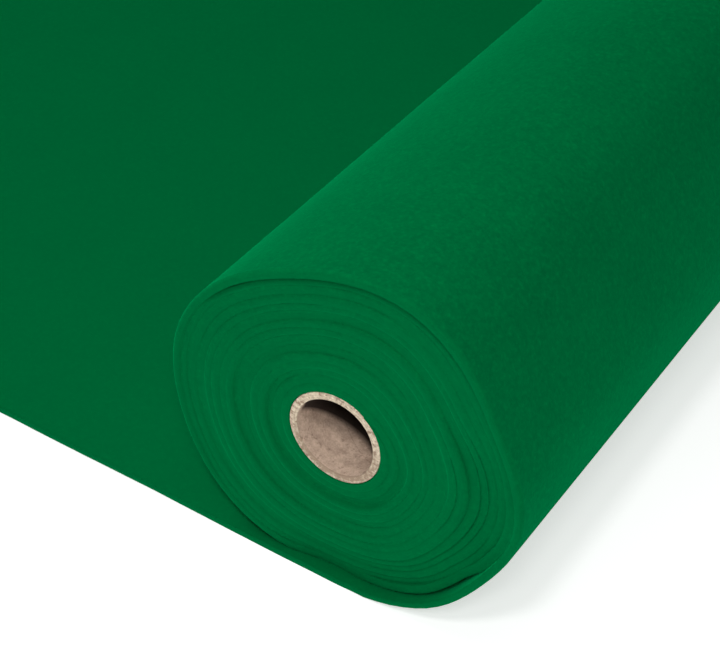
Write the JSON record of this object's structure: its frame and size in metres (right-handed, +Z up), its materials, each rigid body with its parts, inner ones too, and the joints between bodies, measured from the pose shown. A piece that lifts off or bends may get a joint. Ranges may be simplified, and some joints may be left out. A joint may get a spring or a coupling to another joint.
{
  "type": "roll of felt",
  "caption": "Roll of green needled felt wound on an open cardboard core, with its loose end unrolled flat on the ground beside it.",
  "frame": {"origin": "on the ground under the roll's axis, half way along the roll, on the flat spot that the roll rests on", "axes": "+Z up, the roll's axis along Y with the end that the picture shows facing -Y, the loose end lying toward -X"},
  "size_m": [0.6056, 0.9065, 0.1741],
  "materials": {
    "felt": "matt needled wool-like felt, softly mottled",
    "cardboard": "matt spiral-wound paper board"
  },
  "bodies": {
    "root": {"felt": "felt", "core": "cardboard"}
  },
  "joints": []
}
